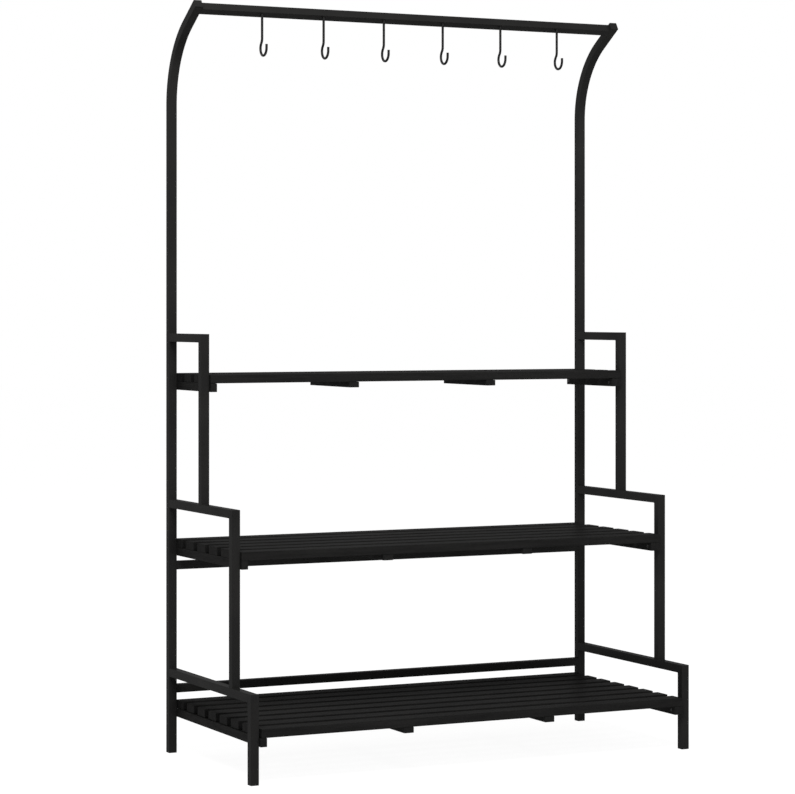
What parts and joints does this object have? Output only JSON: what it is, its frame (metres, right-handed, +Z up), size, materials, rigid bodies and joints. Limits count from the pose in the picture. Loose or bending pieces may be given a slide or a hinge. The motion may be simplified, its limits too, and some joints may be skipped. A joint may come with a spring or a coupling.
{
  "type": "hall tree with hooks",
  "caption": "Free-standing stepped rack: bent rear posts carry a hook rail above slatted shelves that grow deeper towards the floor.",
  "frame": {"origin": "on the floor, at the centre of the bounding box", "axes": "+X to the viewer's right along the shelves, -Y towards the viewer (the front), +Z up"},
  "size_m": [1.16, 0.53, 1.8039],
  "materials": {
    "black_steel": "satin black powder coat on welded square steel tube",
    "black_wood": "satin black paint on solid wood, faint grain",
    "black_plastic": "matte black moulded plastic",
    "black_wire": "satin black coated steel wire"
  },
  "bodies": {
    "frame": {"rear_post_left": "black_steel", "top_arm_left": "black_steel", "middle_arm_left": "black_steel", "bottom_arm_left": "black_steel", "top_front_post_left": "black_steel", "middle_front_post_left": "black_steel", "front_leg_left": "black_steel", "rear_post_right": "black_steel", "top_arm_right": "black_steel", "middle_arm_right": "black_steel", "bottom_arm_right": "black_steel", "top_front_post_right": "black_steel", "middle_front_post_right": "black_steel", "front_leg_right": "black_steel", "middle_rear_stretcher": "black_steel", "bottom_rear_stretcher": "black_steel", "hook_rail": "black_steel", "foot_cap_rear_left": "black_plastic", "foot_cap_front_left": "black_plastic", "foot_cap_rear_right": "black_plastic", "foot_cap_front_right": "black_plastic", "post_end_cap_left": "black_plastic", "post_end_cap_right": "black_plastic", "top_slat_1": "black_wood", "top_slat_2": "black_wood", "top_slat_3": "black_wood", "top_slat_4": "black_wood", "middle_slat_1": "black_wood", "middle_slat_2": "black_wood", "middle_slat_3": "black_wood", "middle_slat_4": "black_wood", "middle_slat_5": "black_wood", "middle_slat_6": "black_wood", "bottom_slat_1": "black_wood", "bottom_slat_2": "black_wood", "bottom_slat_3": "black_wood", "bottom_slat_4": "black_wood", "bottom_slat_5": "black_wood", "bottom_slat_6": "black_wood", "bottom_slat_7": "black_wood", "bottom_slat_8": "black_wood", "top_batten_1": "black_wood", "top_batten_2": "black_wood", "top_batten_3": "black_wood", "top_batten_4": "black_wood", "middle_batten_1": "black_wood", "middle_batten_2": "black_wood", "middle_batten_3": "black_wood", "middle_batten_4": "black_wood", "bottom_batten_1": "black_wood", "bottom_batten_2": "black_wood", "bottom_batten_3": "black_wood", "bottom_batten_4": "black_wood"},
    "hook_1": {"hook_1": "black_wire"},
    "hook_2": {"hook_2": "black_wire"},
    "hook_3": {"hook_3": "black_wire"},
    "hook_4": {"hook_4": "black_wire"},
    "hook_5": {"hook_5": "black_wire"},
    "hook_6": {"hook_6": "black_wire"}
  },
  "joints": [
    {"name": "hook_1_swivel", "type": "hinge", "parent": "frame", "child": "hook_1", "pos_m": [-0.4025, 0.0905, 1.75], "axis": [0, 0, 1], "continuous": true},
    {"name": "hook_2_swivel", "type": "hinge", "parent": "frame", "child": "hook_2", "pos_m": [-0.2405, 0.0905, 1.75], "axis": [0, 0, 1], "continuous": true},
    {"name": "hook_3_swivel", "type": "hinge", "parent": "frame", "child": "hook_3", "pos_m": [-0.0785, 0.0905, 1.75], "axis": [0, 0, 1], "continuous": true},
    {"name": "hook_4_swivel", "type": "hinge", "parent": "frame", "child": "hook_4", "pos_m": [0.0835, 0.0905, 1.75], "axis": [0, 0, 1], "continuous": true},
    {"name": "hook_5_swivel", "type": "hinge", "parent": "frame", "child": "hook_5", "pos_m": [0.2455, 0.0905, 1.75], "axis": [0, 0, 1], "continuous": true},
    {"name": "hook_6_swivel", "type": "hinge", "parent": "frame", "child": "hook_6", "pos_m": [0.4075, 0.0905, 1.75], "axis": [0, 0, 1], "continuous": true}
  ]
}
